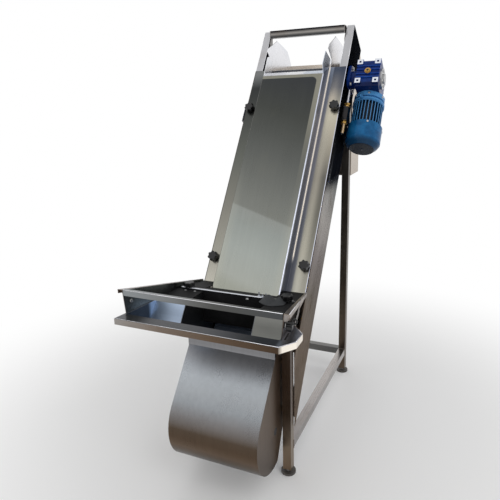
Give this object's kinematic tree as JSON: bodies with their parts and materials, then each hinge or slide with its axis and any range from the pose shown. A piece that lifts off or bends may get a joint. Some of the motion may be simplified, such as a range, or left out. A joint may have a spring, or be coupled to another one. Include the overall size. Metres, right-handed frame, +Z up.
{
  "type": "cleated elevator conveyor",
  "caption": "Steep cleated belt conveyor in a stainless frame, with a feed hopper at its foot, a discharge duct at its head and a geared motor on its side.",
  "frame": {"origin": "centre of the bounding box's underside, at floor level under the feet", "axes": "+Z up, +X across the belt towards the gear motor's side, +Y backwards from the feed hopper to the discharge"},
  "size_m": [0.636, 1.249, 1.5805],
  "materials": {
    "stainless": "brushed stainless sheet and tube",
    "belt_plastic": "blue-black moulded plastic",
    "knob_plastic": "black moulded plastic",
    "gear_paint": "deep blue paint, slightly worn",
    "motor_paint": "petrol blue paint",
    "rubber": "black sheet rubber",
    "brass": "dull brass",
    "bearing_housing": "dark painted casting"
  },
  "bodies": {
    "root": {"base_tube_left": "stainless", "base_tube_right": "stainless", "belt_bed": "stainless", "boot_cover": "stainless", "boot_neck": "stainless", "boot_side_left": "stainless", "boot_side_right": "stainless", "channel_cover": "stainless", "cleated_belt": "belt_plastic", "cover_knobs": "knob_plastic", "curtain_bar": "stainless", "curtain_knobs": "knob_plastic", "duct_front_wall": "stainless", "duct_rear_wall": "stainless", "duct_side_left": "stainless", "duct_side_right": "stainless", "fan_cover": "motor_paint", "feed_curtain": "rubber", "feed_rim": "stainless", "front_leg_left": "stainless", "front_leg_right": "stainless", "gear_cover": "stainless", "gear_housing": "gear_paint", "guide_plate_left": "stainless", "guide_plate_right": "stainless", "head_bearing": "bearing_housing", "head_drum": "stainless", "hopper_chute": "stainless", "hopper_liner": "rubber", "hopper_pocket_left": "stainless", "hopper_pocket_right": "stainless", "hopper_rail": "stainless", "hopper_seal": "rubber", "hopper_side_left": "stainless", "hopper_side_right": "stainless", "hopper_skirt_left": "stainless", "hopper_skirt_right": "stainless", "levelling_feet": "stainless", "motor_body": "motor_paint", "motor_flange": "motor_paint", "oil_plug": "brass", "output_flange": "gear_paint", "rear_cross_tube": "stainless", "rear_leg_left": "stainless", "rear_leg_right": "stainless", "side_knob": "knob_plastic", "side_panel_left": "stainless", "side_panel_right": "stainless", "tail_drum": "stainless", "take_up_rod_left": "stainless", "take_up_rod_right": "stainless", "top_cross_tube": "stainless"}
  },
  "joints": []
}
